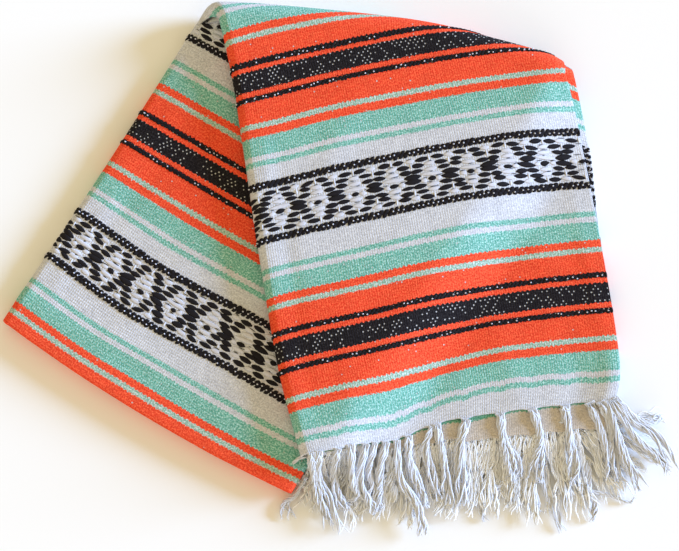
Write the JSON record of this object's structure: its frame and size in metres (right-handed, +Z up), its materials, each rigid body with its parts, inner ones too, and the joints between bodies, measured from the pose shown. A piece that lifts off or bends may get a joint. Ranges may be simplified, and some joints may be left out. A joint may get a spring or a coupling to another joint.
{
  "type": "folded mexican serape",
  "caption": "Striped fringed serape blanket, folded into a strip and laid over itself at a slant; drapes or covers, and lies flat as shown.",
  "frame": {"origin": "middle of the bounding box's base, on the surface it lies on", "axes": "+Z up from the surface; the front's hem and fringe face -Y; the lower run goes down to -X"},
  "size_m": [0.7188, 0.5896, 0.0467],
  "materials": {
    "striped_cloth": "coarse weft-faced weave in orange, mint, white and black stripes, matt",
    "fringe_yarn": "loose twisted white cotton warp yarn, matt"
  },
  "bodies": {
    "root": {"front_panel": "striped_cloth", "second_layer": "striped_cloth", "front_core": "striped_cloth", "back_panel": "striped_cloth", "back_core": "striped_cloth", "base_panel": "striped_cloth", "front_fringe": "fringe_yarn", "second_fringe": "fringe_yarn", "under_fringe": "fringe_yarn"}
  },
  "joints": []
}
